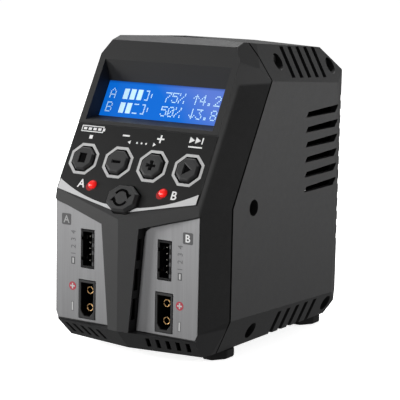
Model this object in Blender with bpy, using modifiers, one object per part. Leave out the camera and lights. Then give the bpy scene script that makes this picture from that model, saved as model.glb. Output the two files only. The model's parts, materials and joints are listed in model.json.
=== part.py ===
"""Balance battery charger with two channels, built as separate pieces. Metres, +Z up, front towards -Y."""
import math

import bmesh
import bpy
from mathutils import Matrix, Vector

MM = 0.001

# Driving dimensions, in millimetres.
HALF_WIDTH = 40.0
BACK_Y = 58.8
BASE_Z = 4.0
WALL = 2.4
GAP = 0.25
SEAM_GAP = 0.5
SEAM_Y, SEAM_BEND_Z, SEAM_LEAN = -37.4, 63.5, 0.58
FACE_TILT = math.radians(29.5)
FACE_N = Vector((0.0, -math.cos(FACE_TILT), math.sin(FACE_TILT)))
FACE_UP = Vector((0.0, math.sin(FACE_TILT), math.cos(FACE_TILT)))
FACE_D = 80.8
PLATE_FLOOR_Y, PLATE_FACE_Y = -53.4, -53.9
BUTTON_XS = (-25.3, -8.4, 8.4, 25.3)
BUTTON_Z, CHANNEL_Z, LED_X, LED_Z = 78.9, 65.6, 17.1, 69.6
BUTTON_R, CHANNEL_R = 5.05, 5.7
CHANNEL_WIDE = 1.27
HEADER_X, HEADER_Z, HEADER_W, HEADER_H = 18.8, 42.95, 6.2, 15.7
POWER_X, POWER_Z, POWER_W, POWER_H = 18.9, 21.75, 8.0, 15.9
PIN_PITCH, CONTACT_PITCH = 2.5, 7.2
FAN_Z, FAN_R, FAN_Y = 78.0, 18.4, 51.6
INLET_X, INLET_Z = -18.0, 26.2
SCREWS = ((-21.4, 62.0), (2.5, 119.3), (48.0, 115.2), (-15.8, 9.6), (47.6, 9.6))
FEET = ((-28.3, -27.4), (28.3, -27.4), (-28.3, 46.4), (28.3, 46.4))

# Outer faces of the case as (outward normal, distance), each a flat cut of one block.
FRONT_PLANES = [
    ((0.1416, -0.9899, 0.0), 58.80), ((-0.1416, -0.9899, 0.0), 58.80),
    (tuple(FACE_N), FACE_D), ((0.0, -0.302, 0.953), 126.6),
    ((0.957, -0.290, 0.0), 49.12), ((-0.957, -0.290, 0.0), 49.12),
    ((0.943, -0.289, 0.165), 59.0), ((-0.943, -0.289, 0.165), 59.0),
    ((0.82, -0.14, 0.55), 97.4), ((-0.82, -0.14, 0.55), 97.4),
    ((0.1, -0.703, -0.704), 33.0), ((-0.1, -0.703, -0.704), 33.0),
    ((0.9131, -0.2081, -0.3506), 37.89), ((-0.9131, -0.2081, -0.3506), 37.89),
]
COMMON_PLANES = [
    ((1.0, 0.0, 0.0), HALF_WIDTH), ((-1.0, 0.0, 0.0), HALF_WIDTH),
    ((0.047, 0.075, 1.0), 127.9), ((-0.047, 0.075, 1.0), 127.9),
    ((0.8816, 0.036, 0.4723), 87.93), ((-0.8816, 0.036, 0.4723), 87.93),
    ((1.0, -0.0176, -0.452), 32.515), ((-1.0, -0.0176, -0.452), 32.515),
    ((0.0, 0.0, -1.0), -BASE_Z), ((0.0, 1.0, 0.0), BACK_Y),
    ((0.94, 0.342, 0.0), 54.36), ((-0.94, 0.342, 0.0), 54.36),
    ((0.0, 0.628, 0.778), 124.2), ((0.0, 0.78, -0.625), 37.1),
]
SEAM_PLANES = [((0.0, -1.0, 0.0), -SEAM_Y), ((0.0, -1.0, SEAM_LEAN), -SEAM_Y + SEAM_LEAN * SEAM_BEND_Z)]

SEAM_CREST = ((0.0, -1.0, -0.287), 8.9 - 0.287 * 112.7)

PLASTIC = ("case plastic", (0.055, 0.055, 0.058), 0.62, 0.0)
BLACK = ("black plastic", (0.014, 0.014, 0.015), 0.5, 0.0)
LABEL = ("label film", (0.012, 0.012, 0.013), 0.45, 0.0)
METAL = ("brushed plate", (0.34, 0.34, 0.35), 0.42, 0.7)
STEEL = ("steel", (0.55, 0.55, 0.56), 0.35, 1.0)
GOLD = ("gold", (0.86, 0.62, 0.22), 0.28, 1.0)
GLASS = ("display glass", (0.02, 0.14, 0.85), 0.12, 0.0)
RED = ("led red", (0.85, 0.02, 0.02), 0.2, 0.0)
BOARD = ("board", (0.03, 0.18, 0.07), 0.55, 0.0)
COPPER = ("winding", (0.72, 0.52, 0.16), 0.5, 0.0)
RUBBER = ("rubber", (0.02, 0.02, 0.02), 0.85, 0.0)


def clear_scene():
    """Remove every object of the startup scene."""
    for obj in list(bpy.data.objects):
        bpy.data.objects.remove(obj, do_unlink=True)


def collection(name, hidden=False):
    """Make a collection under the scene."""
    made = bpy.data.collections.new(name)
    made.hide_render = hidden
    bpy.context.scene.collection.children.link(made)
    return made


clear_scene()
OBJECT = collection("balance_charger")
CUTTERS = collection("cutters", hidden=True)
MATERIALS = {}


def material(finish):
    """Return the Principled material of one finish, made once."""
    name, colour, roughness, metallic = finish
    if name not in MATERIALS:
        made = bpy.data.materials.new(name)
        made.use_nodes = True
        shader = made.node_tree.nodes["Principled BSDF"]
        shader.inputs["Base Color"].default_value = (*colour, 1.0)
        shader.inputs["Roughness"].default_value = roughness
        shader.inputs["Metallic"].default_value = metallic
        made.diffuse_color = (*colour, 1.0)
        MATERIALS[name] = made
    return MATERIALS[name]


def finish_mesh(bm, name, finish, origin=(0.0, 0.0, 0.0)):
    """Turn a bmesh in millimetres into an object in metres with its origin at the given point."""
    bmesh.ops.recalc_face_normals(bm, faces=bm.faces)
    origin = Vector(origin)
    bmesh.ops.translate(bm, verts=bm.verts, vec=-origin)
    bmesh.ops.scale(bm, verts=bm.verts, vec=(MM, MM, MM))
    mesh = bpy.data.meshes.new(name)
    bm.to_mesh(mesh)
    bm.free()
    obj = bpy.data.objects.new(name, mesh)
    obj.location = origin * MM
    if finish is None:
        CUTTERS.objects.link(obj)
        obj.hide_render = True
        obj.display_type = "WIRE"
    else:
        OBJECT.objects.link(obj)
        mesh.materials.append(material(finish))
    return obj


def convex_bm(planes, inset=0.0, reach=200.0):
    """A block cut flat by every plane, each moved inwards by the inset."""
    bm = bmesh.new()
    bmesh.ops.create_cube(bm, size=2 * reach)
    for normal, distance in planes:
        unit = Vector(normal)
        length = unit.length
        unit = unit / length
        point = unit * (distance / length - inset)
        geom = bm.verts[:] + bm.edges[:] + bm.faces[:]
        bmesh.ops.bisect_plane(bm, geom=geom, plane_co=point, plane_no=unit, clear_outer=True)
        loose = [edge for edge in bm.edges if edge.is_boundary]
        if loose:
            bmesh.ops.holes_fill(bm, edges=loose)
    bmesh.ops.remove_doubles(bm, verts=bm.verts, dist=0.001)
    return bm


def box_bm(low, high):
    """An axis-aligned box from its two corners."""
    bm = bmesh.new()
    bmesh.ops.create_cube(bm, size=1.0)
    size = Vector(high) - Vector(low)
    bmesh.ops.scale(bm, verts=bm.verts, vec=size)
    bmesh.ops.translate(bm, verts=bm.verts, vec=(Vector(high) + Vector(low)) / 2)
    return bm


def prism_bm(points, low, high, axis="Y"):
    """A polygon swept along one axis. Points are in the two other axes, in order."""
    bm = bmesh.new()

    def place(point, along):
        first, second = point
        return {"X": (along, first, second), "Y": (first, along, second), "Z": (first, second, along)}[axis]

    ends = [[bm.verts.new(place(point, along)) for point in points] for along in (low, high)]
    bm.faces.new(ends[0])
    bm.faces.new(list(reversed(ends[1])))
    for index in range(len(points)):
        after = (index + 1) % len(points)
        bm.faces.new((ends[0][index], ends[0][after], ends[1][after], ends[1][index]))
    return bm


def loft_bm(rings):
    """A closed skin through rings of equal point counts, capped at both ends."""
    bm = bmesh.new()
    made = [[bm.verts.new(point) for point in ring] for ring in rings]
    count = len(made[0])
    for lower, upper in zip(made, made[1:]):
        for index in range(count):
            after = (index + 1) % count
            bm.faces.new((lower[index], lower[after], upper[after], upper[index]))
    bm.faces.new(list(reversed(made[0])))
    bm.faces.new(made[-1])
    return bm


def cylinder_bm(centre, radius, length, axis="X", sides=20, radius_end=None):
    """A cylinder or cone centred on a point, along one axis."""
    bm = bmesh.new()
    bmesh.ops.create_cone(bm, cap_ends=True, segments=sides, radius1=radius,
                          radius2=radius if radius_end is None else radius_end, depth=length)
    turn = {"X": Matrix.Rotation(math.pi / 2, 3, "Y"), "Y": Matrix.Rotation(-math.pi / 2, 3, "X"),
            "Z": Matrix.Identity(3)}[axis]
    bmesh.ops.rotate(bm, verts=bm.verts, cent=(0, 0, 0), matrix=turn)
    bmesh.ops.translate(bm, verts=bm.verts, vec=Vector(centre))
    return bm


def join_bm(parts):
    """Several separate shapes in one mesh, for cutters only."""
    whole = bmesh.new()
    for part in parts:
        held = bpy.data.meshes.new("held")
        bmesh.ops.recalc_face_normals(part, faces=part.faces)
        part.to_mesh(held)
        part.free()
        whole.from_mesh(held)
        bpy.data.meshes.remove(held)
    return whole


def on_face(x, z, depth=0.0):
    """The point of the slanted front face at this x and height, moved inwards by the depth."""
    y = -(FACE_D - FACE_N.z * z) / -FACE_N.y
    return Vector((x, y, z)) - FACE_N * depth


def face_ring(centre, outline, depth):
    """Points of an outline laid in the slanted face's own directions around a centre point."""
    return [centre + Vector((u, 0, 0)) + FACE_UP * v - FACE_N * depth for u, v in outline]


def octagon(radius, stretch=1.0):
    """A flat-topped octagon whose flats lie at the radius."""
    corner = radius * math.tan(math.pi / 8) * stretch
    return [(corner, -radius), (radius, -corner), (radius, corner), (corner, radius),
            (-corner, radius), (-radius, corner), (-radius, -corner), (-corner, -radius)]


def wide_octagon(radius):
    """The channel cap's octagon, wider than high."""
    return [(u * CHANNEL_WIDE, v) for u, v in octagon(radius)]


def circle(radius, sides):
    """A ring of points."""
    return [(radius * math.cos(2 * math.pi * i / sides), radius * math.sin(2 * math.pi * i / sides))
            for i in range(sides)]


def face_prism(centre, outline, outer, inner):
    """An outline swept along the slanted face's normal, from an outer to an inner depth."""
    return loft_bm([face_ring(centre, outline, inner), face_ring(centre, outline, outer)])


def cut(target, bm, name, operation="DIFFERENCE"):
    """Apply a Boolean with a shape given in millimetres."""
    cutter = finish_mesh(bm, f"cut_{name}", None)
    change = target.modifiers.new(name, "BOOLEAN")
    change.operation = operation
    change.solver = "EXACT"
    change.object = cutter
    return cutter


def bevel(target, width, segments=1, angle=35.0):
    """Break the sharp edges of a finished solid."""
    change = target.modifiers.new("edge", "BEVEL")
    change.width = width * MM
    change.segments = segments
    change.limit_method = "ANGLE"
    change.angle_limit = math.radians(angle)
    return change


# ---------------------------------------------------------------- case
def recess_rings():
    """The display recess as depth, half width, lower and upper height measured along the face."""
    centre = on_face(0.0, 106.0)

    def ring(depth, half, low, high):
        return face_ring(centre, [(-half, low), (half, low), (half, high), (-half, high)], depth)

    return centre, ring


def build_front_shell():
    """The front shell: a hollow wedge-nosed cover with the display recess, plate floors and sockets."""
    shell = finish_mesh(convex_bm(FRONT_PLANES + COMMON_PLANES), "front_shell", PLASTIC)
    cavity = finish_mesh(convex_bm(FRONT_PLANES + COMMON_PLANES + [((0.0, -1.0, 0.0), 50.9 + WALL)],
                                   inset=WALL), "cut_front_cavity", None)
    centre, ring = recess_rings()
    cut(cavity, loft_bm([ring(8.0, 33.6, -16.4, 16.4), ring(-4.0, 33.6, -16.4, 16.4)]), "recess_block")
    hollow = shell.modifiers.new("hollow", "BOOLEAN")
    hollow.operation, hollow.solver, hollow.object = "DIFFERENCE", "EXACT", cavity
    cut(shell, convex_bm(COMMON_PLANES[9:10] + [((0, -1, 0), -SEAM_Y + SEAM_GAP),
                         ((0.0, -1.0, SEAM_LEAN), -SEAM_Y + SEAM_LEAN * SEAM_BEND_Z + SEAM_GAP * 1.16)],
                        reach=160.0), "behind_seam")
    crest = (SEAM_CREST[0], SEAM_CREST[1] + SEAM_GAP * 1.04)
    cut(shell, convex_bm([crest, ((0.0, 0.0, -1.0), -100.0)], reach=160.0), "behind_crest")
    top, low = 14.0, -13.8
    cut(shell, loft_bm([ring(8.6, 30.4, low + 5.0, top - 6.6), ring(6.8, 30.4, low + 5.0, top - 6.6),
                        ring(-0.02, 30.9, low, top), ring(-5.0, 30.9, low, top)]), "display_recess")
    cut(shell, loft_bm([ring(12.0, 31.9, low + 3.6, top - 5.4), ring(7.0, 31.9, low + 3.6, top - 5.4)]),
        "display_seat")
    for side, tag in ((-1, "a"), (1, "b")):
        outline = [(side * x, z) for x, z in ((48.0, 65.84), (9.0, 55.0), (5.0, 12.4), (34.0, 12.0), (48.0, 12.0))]
        cut(shell, prism_bm(outline, -70.0, PLATE_FLOOR_Y), f"plate_floor_{tag}")
        slots = [box_bm((side * 7.2 - 5.4, -57.4, z), (side * 7.2 + 5.4, -54.7, z + 8.9)) for z in (17.4, 29.6, 41.9)]
        cut(shell, join_bm(slots), f"column_slots_{tag}")
        cut(shell, box_bm((side * HEADER_X - HEADER_W / 2 - GAP, -60.0, HEADER_Z - HEADER_H / 2 - GAP),
                          (side * HEADER_X + HEADER_W / 2 + GAP, -40.0, HEADER_Z + HEADER_H / 2 + GAP)),
            f"header_hole_{tag}")
        cut(shell, box_bm((side * POWER_X - POWER_W / 2 - GAP, -60.0, POWER_Z - POWER_H / 2 - GAP),
                          (side * POWER_X + POWER_W / 2 + GAP, -38.0, POWER_Z + POWER_H / 2 + GAP)),
            f"power_hole_{tag}")
        bars = []
        for step in range(5):
            x = side * (9.5 + 4.6 * step)
            bar = box_bm((x - 0.9, -60.0, -1.0), (x + 0.9, -44.0, 3.6))
            bmesh.ops.rotate(bar, verts=bar.verts, cent=(x, -49.5, 8.0), matrix=Matrix.Rotation(side * 0.35, 3, "Z"))
            bmesh.ops.translate(bar, verts=bar.verts, vec=(0, 1.5, 7.1))
            bars.append(bar)
        cut(shell, join_bm(bars), f"lower_slots_{tag}")
    pocket = [(-34.3, 58.0), (34.3, 58.0), (34.3, 92.6), (-34.3, 92.6)]
    floor = [on_face(x, z, 0.5) for x, z in pocket]
    roof = [on_face(x, z, -6.0) for x, z in pocket]
    cut(shell, loft_bm([floor, roof]), "label_pocket")
    for x, tag in zip(BUTTON_XS, ("stop", "dec", "inc", "enter")):
        cut(shell, face_prism(on_face(x, BUTTON_Z), octagon(BUTTON_R + 0.5), -3.0, 6.0), f"well_{tag}")
    cut(shell, face_prism(on_face(0, CHANNEL_Z), wide_octagon(CHANNEL_R + 0.4), -6.0, 7.0), "well_channel")
    cut(shell, face_prism(on_face(0, CHANNEL_Z), wide_octagon(CHANNEL_R + 1.6), 6.3, 16.0), "channel_room")
    for side, tag in ((-1, "a"), (1, "b")):
        cut(shell, face_prism(on_face(side * LED_X, LED_Z), circle(2.1, 16), -3.0, 6.0), f"well_led_{tag}")
    return shell


def build_rear_shell(side, name):
    """One half of the rear clamshell, with its vents, screw holes, bosses and board rail."""
    split = ((-float(side), 0.0, 0.0), -0.15)
    shell = finish_mesh(convex_bm(FRONT_PLANES + COMMON_PLANES + [split]), name, PLASTIC)
    hollow = [plane for plane in COMMON_PLANES if plane[0] != (0.0, 1.0, 0.0)]
    cut(shell, convex_bm(hollow + [((0, 1, 0), 90.0), ((0, -1, 0), 90.0)], inset=WALL), f"{name}_cavity")
    boss, bore, head = [], [], []
    for y, z in SCREWS:
        inner = 0.3 if side > 0 else 0.2
        boss.append(cylinder_bm((side * (inner + 38.6) / 2, y, z), 4.4, 38.6 - inner, "X", 16))
        bore.append(cylinder_bm((side * 10.5, y, z), 1.65, 41.0, "X", 12))
        head.append(cylinder_bm((side * 40.6, y, z), 3.4, 20.0, "X", 20))
    cut(shell, join_bm(boss), f"{name}_bosses", "UNION")
    cut(shell, box_bm((min(side * 30.0, side * 37.0), -18.0, 12.0), (max(side * 30.0, side * 37.0), 38.0, 14.4)),
        f"{name}_rail", "UNION")
    cut(shell, convex_bm(FRONT_PLANES + COMMON_PLANES + [split]), f"{name}_trim", "INTERSECT")
    behind = cut(shell, convex_bm(SEAM_PLANES, reach=160.0), f"{name}_behind_seam", "INTERSECT")
    cut(behind, convex_bm([SEAM_CREST, ((0.0, 0.0, -1.0), -104.0)], reach=150.0), f"{name}_crest", "UNION")
    cut(shell, join_bm(bore), f"{name}_bores")
    if side > 0:
        cut(shell, join_bm(head), f"{name}_heads")
    else:
        cut(shell, join_bm([cylinder_bm((-44.0, y, z), 3.4, 16.0, "X", 20) for y, z in SCREWS]), f"{name}_heads")
    notches = [box_bm((min(side * 33.0, side * 45.0), BACK_Y - 1.7, 37.0 + 6.2 * step),
                      (max(side * 33.0, side * 45.0), 70.0, 39.6 + 6.2 * step)) for step in range(11)]
    cut(shell, join_bm(notches), f"{name}_notches")
    wedges = []
    for step in range(6):
        z = 63.8 + 6.4 * step
        points = [(20.6, z - 0.9), (46.6, z - 0.7), (49.8, z + 2.6), (22.4, z + 1.4)]
        wedges.append(prism_bm(points, side * 34.0, side * 46.0, "X"))
    cut(shell, join_bm(wedges), f"{name}_side_vents")
    tops = []
    for step in range(5):
        y = 10.4 + 7.0 * step
        slot = box_bm((-7.2, -1.5, -4.0), (7.2, 1.5, 4.0))
        bmesh.ops.rotate(slot, verts=slot.verts, cent=(0, 0, 0),
                         matrix=Matrix.Rotation(side * math.radians(61.8), 3, "Y"))
        bmesh.ops.translate(slot, verts=slot.verts, vec=(side * 36.4, y, 119.6 - 0.05 * y))
        tops.append(slot)
    cut(shell, join_bm(tops), f"{name}_top_slots")
    lows = []
    for step in range(5):
        y = 0.4 + 7.6 * step
        slot = box_bm((-6.4, -1.5, -4.0), (6.4, 1.5, 4.0))
        bmesh.ops.rotate(slot, verts=slot.verts, cent=(0, 0, 0),
                         matrix=Matrix.Rotation(side * math.radians(-57.7), 3, "Y"))
        bmesh.ops.translate(slot, verts=slot.verts, vec=(side * 36.6, y + 4.0, 8.2))
        lows.append(slot)
    cut(shell, join_bm(lows), f"{name}_low_slots")
    return shell


def build_rear_panel():
    """The rear panel with its louvres, the fan opening and the inlet opening."""
    top, low, half = 109.0, 18.0, 33.5
    panel = finish_mesh(box_bm((-half, BACK_Y - 2.6, low), (half, BACK_Y - 0.4, top)), "rear_panel", BLACK)
    for step in range(12):
        z = 33.4 + 6.2 * step
        rib = prism_bm([(BACK_Y - 1.4, z), (BACK_Y + 1.2, z + 0.5), (BACK_Y + 1.2, z + 2.4), (BACK_Y - 1.4, z + 3.4)],
                       -half + 0.2, half - 0.2, "X")
        cut(panel, rib, f"rib_{step:02d}", "UNION")
    slots = [box_bm((side * 15.5 - 12.5, 50.0, 37.4 + 6.2 * step), (side * 15.5 + 12.5, 70.0, 39.0 + 6.2 * step))
             for step in range(11) for side in (-1, 1)]
    cut(panel, join_bm(slots), "louvre_slots")
    cut(panel, box_bm((INLET_X - 9.6, 50.0, INLET_Z - 6.0), (INLET_X + 9.6, 70.0, INLET_Z + 6.0)), "inlet_hole")
    return panel


def build_case():
    """All pieces of the case."""
    build_front_shell()
    build_rear_shell(-1, "left_shell")
    build_rear_shell(1, "right_shell")
    build_rear_panel()


# ---------------------------------------------------------------- front controls
def build_label():
    """The printed label film below the display, with its holes."""
    outline = [(33.9, 92.2), (-33.9, 92.2), (-34.0, 71.0), (-33.2, 67.6), (-0.4, 60.9), (0.4, 60.9),
               (33.2, 67.6), (34.0, 71.0)]
    inner = [on_face(x, z, 0.42) for x, z in outline]
    outer = [on_face(x, z, 0.06) for x, z in outline]
    label = finish_mesh(loft_bm([inner, outer]), "control_label", LABEL)
    for x, tag in zip(BUTTON_XS, ("stop", "dec", "inc", "enter")):
        cut(label, face_prism(on_face(x, BUTTON_Z), octagon(BUTTON_R + 0.5), -3.0, 3.0), f"label_{tag}")
    cut(label, face_prism(on_face(0, CHANNEL_Z), wide_octagon(CHANNEL_R + 0.4), -5.0, 5.0), "label_channel")
    for side, tag in ((-1, "a"), (1, "b")):
        cut(label, face_prism(on_face(side * LED_X, LED_Z), circle(2.1, 16), -3.0, 3.0), f"label_led_{tag}")


def build_display():
    """The display module frame behind the recess and its glass."""
    centre, ring = recess_rings()
    frame = finish_mesh(loft_bm([ring(13.0, 31.5, -9.9, 8.2), ring(9.3, 31.5, -9.9, 8.2)]), "lcd_frame", BLACK)
    cut(frame, loft_bm([ring(15.0, 28.0, -8.0, 6.2), ring(11.0, 28.0, -8.0, 6.2)]), "frame_back")
    finish_mesh(loft_bm([ring(9.0, 31.4, -9.8, 8.1), ring(7.3, 31.4, -9.8, 8.1)]), "lcd_glass", GLASS)


def cap_marks(tag):
    """The engraved mark of one button, as outlines in the face's directions."""
    bar = [(-2.1, -0.75), (2.1, -0.75), (2.1, 0.75), (-2.1, 0.75)]
    post = [(-0.75, -2.2), (0.75, -2.2), (0.75, 2.2), (-0.75, 2.2)]
    return {"stop": [[(-1.75, -2.15), (1.75, -2.15), (1.75, 2.15), (-1.75, 2.15)]], "dec": [bar],
            "inc": [bar, post], "enter": [[(-1.55, -2.4), (2.1, 0.0), (-1.55, 2.4)]]}[tag]


def build_buttons():
    """Five sprung caps, each with its origin on its own travel axis, and their switches."""
    for x, tag in zip(BUTTON_XS, ("stop", "dec", "inc", "enter")):
        centre = on_face(x, BUTTON_Z)
        rings = [face_ring(centre, octagon(BUTTON_R + 1.2), 6.6), face_ring(centre, octagon(BUTTON_R + 1.2), 5.8),
                 face_ring(centre, octagon(BUTTON_R - 0.1), 5.8), face_ring(centre, octagon(BUTTON_R - 0.1), -0.4),
                 face_ring(centre, octagon(BUTTON_R - 0.85), -1.2)]
        cap = finish_mesh(loft_bm(rings), f"button_{tag}", PLASTIC, centre - FACE_N * 3.0)
        for number, outline in enumerate(cap_marks(tag)):
            cut(cap, face_prism(centre, outline, -3.0, -0.7), f"mark_{tag}_{number}")
        build_switch(centre, tag, 7.6)
    centre = on_face(0.0, CHANNEL_Z)
    rings = [face_ring(centre, wide_octagon(CHANNEL_R + 1.2), 7.6), face_ring(centre, wide_octagon(CHANNEL_R + 1.2), 6.8),
             face_ring(centre, wide_octagon(CHANNEL_R - 0.1), 6.8), face_ring(centre, wide_octagon(CHANNEL_R - 0.1), -1.0),
             face_ring(centre, wide_octagon(CHANNEL_R - 0.9), -2.2)]
    cap = finish_mesh(loft_bm(rings), "button_channel", PLASTIC, centre - FACE_N * 3.0)
    for number in range(2):
        arc = [(radius * math.cos(angle), radius * math.sin(angle))
               for radius, angles in ((3.75, range(25, 156, 13)), (2.65, range(155, 24, -13)))
               for angle in (math.radians(a + 180 * number) for a in angles)]
        cut(cap, face_prism(centre, arc, -4.0, -1.7), f"mark_arc_{number}")
        turn = math.radians(180 * number)
        head = [(math.cos(turn) * u - math.sin(turn) * v, math.sin(turn) * u + math.cos(turn) * v)
                for u, v in ((1.75, 1.75), (4.75, 1.75), (3.25, -0.35))]
        cut(cap, face_prism(centre, head, -4.0, -1.65), f"mark_head_{number}")
    build_switch(centre, "channel", 8.6)


def build_switch(centre, tag, depth):
    """A square tactile switch behind one cap, standing on the control board."""
    body = face_prism(centre, [(-2.6, -2.6), (2.6, -2.6), (2.6, 2.6), (-2.6, 2.6)], depth + 1.6, 12.1)
    switch = finish_mesh(body, f"switch_{tag}", BLACK)
    cut(switch, face_prism(centre, circle(1.6, 12), depth, depth + 2.0), f"stem_{tag}", "UNION")


def build_control_board():
    """The board behind the slanted face and the two indicator lamps."""
    corners = [on_face(x, z, 12.4) for x, z in ((-30.0, 69.0), (30.0, 69.0), (30.0, 92.0), (-30.0, 92.0))]
    back = [point - FACE_N * 1.6 for point in corners]
    board = finish_mesh(loft_bm([back, corners]), "control_board", BOARD)
    tongue = [on_face(x, z, 12.4) for x, z in ((-7.0, 61.0), (7.0, 61.0), (7.0, 70.0), (-7.0, 70.0))]
    cut(board, loft_bm([[point - FACE_N * 1.6 for point in tongue], tongue]), "board_tongue", "UNION")
    for side, tag in ((-1, "a"), (1, "b")):
        centre = on_face(side * LED_X, LED_Z)
        rings = [face_ring(centre, circle(radius, 16), depth)
                 for radius, depth in ((1.75, 8.0), (1.75, 0.3), (1.6, -0.5), (1.15, -1.1), (0.5, -1.4))]
        finish_mesh(loft_bm(rings), f"led_{tag}", RED)


# ---------------------------------------------------------------- channel plates and sockets
def build_channel(side, tag):
    """One channel: its plate, the balance header with pins and the power socket with contacts."""
    outline = [(side * x, z) for x, z in ((34.75, 61.6), (12.2, 55.35), (9.9, 53.6), (9.05, 50.9), (5.6, 12.6),
                                          (33.7, 12.6), (34.75, 14.9))]
    plate = finish_mesh(prism_bm(outline, PLATE_FLOOR_Y - 0.1, PLATE_FACE_Y), f"plate_{tag}", METAL)
    hx, px = side * HEADER_X, side * POWER_X
    cut(plate, box_bm((hx - HEADER_W / 2 - GAP, -60.0, HEADER_Z - HEADER_H / 2 - GAP),
                      (hx + HEADER_W / 2 + GAP, -50.0, HEADER_Z + HEADER_H / 2 + GAP)), f"plate_header_{tag}")
    cut(plate, box_bm((px - POWER_W / 2 - GAP, -60.0, POWER_Z - POWER_H / 2 - GAP),
                      (px + POWER_W / 2 + GAP, -50.0, POWER_Z + POWER_H / 2 + GAP)), f"plate_power_{tag}")
    header = finish_mesh(box_bm((hx - HEADER_W / 2, PLATE_FACE_Y - 0.1, HEADER_Z - HEADER_H / 2),
                                (hx + HEADER_W / 2, -43.6, HEADER_Z + HEADER_H / 2)), f"balance_header_{tag}", BLACK)
    cut(header, box_bm((hx - HEADER_W / 2 + 0.8, -60.0, HEADER_Z - HEADER_H / 2 + 0.8),
                       (hx + HEADER_W / 2 - 0.8, -46.6, HEADER_Z + HEADER_H / 2 - 0.8)), f"header_cavity_{tag}")
    notch = [box_bm((hx - HEADER_W, -60.0, HEADER_Z + z - 0.7), (hx - 1.0, -50.6, HEADER_Z + z + 0.7))
             for z in (-4.2, 4.2)]
    cut(header, join_bm(notch), f"header_notches_{tag}")
    for pin in range(5):
        z = HEADER_Z + (pin - 2) * PIN_PITCH
        cut(header, box_bm((hx - 0.47, -50.0, z - 0.47), (hx + 0.47, -40.0, z + 0.47)), f"pin_hole_{tag}_{pin}")
        body = loft_bm([[(hx + sx * w, y, z + sz * w) for sx, sz in ((-1, -1), (1, -1), (1, 1), (-1, 1))]
                        for y, w in ((-41.0, 0.32), (-51.4, 0.32), (-52.2, 0.16))])
        finish_mesh(body, f"balance_pin_{tag}{pin + 1}", GOLD)
    outer = [(px - POWER_W / 2, POWER_Z + POWER_H / 2), (px + POWER_W / 2, POWER_Z + POWER_H / 2),
             (px + POWER_W / 2, POWER_Z - 5.6), (px + 1.9, POWER_Z - POWER_H / 2), (px - 1.9, POWER_Z - POWER_H / 2),
             (px - POWER_W / 2, POWER_Z - 5.6)]
    inner = [(px + (x - px) * (1 - 1.7 / POWER_W), POWER_Z + (z - POWER_Z) * (1 - 1.9 / POWER_H)) for x, z in outer]
    square = [(px - POWER_W / 2, POWER_Z + POWER_H / 2), (px + POWER_W / 2, POWER_Z + POWER_H / 2),
              (px + POWER_W / 2, POWER_Z - POWER_H / 2), (px - POWER_W / 2, POWER_Z - POWER_H / 2)]
    socket = finish_mesh(prism_bm(square, PLATE_FACE_Y - 0.1, -40.4), f"power_socket_{tag}", BLACK)
    cut(socket, prism_bm(inner, -60.0, -44.2), f"socket_cavity_{tag}")
    for number, offset in enumerate((CONTACT_PITCH / 2, -CONTACT_PITCH / 2)):
        z = POWER_Z + offset
        cut(socket, cylinder_bm((px, -42.0, z), 1.75, 20.0, "Y", 16), f"contact_hole_{tag}_{number}")
        contact = finish_mesh(cylinder_bm((px, (-51.8 - 38.0) / 2, z), 1.6, 13.8, "Y", 20),
                              f"contact_{tag}_{'plus' if number == 0 else 'minus'}", GOLD)
        cut(contact, cylinder_bm((px, -54.0, z), 1.25, 14.0, "Y", 16), f"contact_bore_{tag}_{number}")
        cross = [box_bm((px - 2.5, -60.0, z - 0.14), (px + 2.5, -46.4, z + 0.14)),
                 box_bm((px - 0.14, -60.0, z - 2.5), (px + 0.14, -46.4, z + 2.5))]
        cut(contact, cross[0], f"split_h_{tag}_{number}")
        cut(contact, cross[1], f"split_v_{tag}_{number}")


# ---------------------------------------------------------------- inside and rear
def build_electronics():
    """The main board and the large parts standing on it."""
    finish_mesh(box_bm((-32.5, -17.0, 14.7), (32.5, 37.0, 16.3)), "main_board", BOARD)
    core = finish_mesh(box_bm((-27.0, -8.0, 16.6), (-3.0, 18.0, 24.6)), "transformer", COPPER)
    cut(core, box_bm((-25.0, -6.0, 24.0), (-5.0, 16.0, 40.0)), "winding", "UNION")
    cut(core, box_bm((-27.0, -8.0, 39.4), (-3.0, 18.0, 46.0)), "core_top", "UNION")
    finish_mesh(cylinder_bm((14.0, -4.0, 32.1), 8.0, 31.0, "Z", 24), "capacitor", BLACK)
    for x, tag in ((-31.0, "a"), (29.0, "b")):
        sink = finish_mesh(box_bm((x, 2.0, 16.6), (x + 2.0, 34.0, 52.0)), f"heat_sink_{tag}", STEEL)
        low, high = (x + 1.4, x + 4.6) if x > 0 else (x - 2.6, x + 0.6)
        fins = [box_bm((low, 4.0 + 5.0 * n, 20.0), (high, 6.0 + 5.0 * n, 51.0)) for n in range(6)]
        cut(sink, join_bm(fins), f"fins_{tag}", "UNION")


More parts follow.
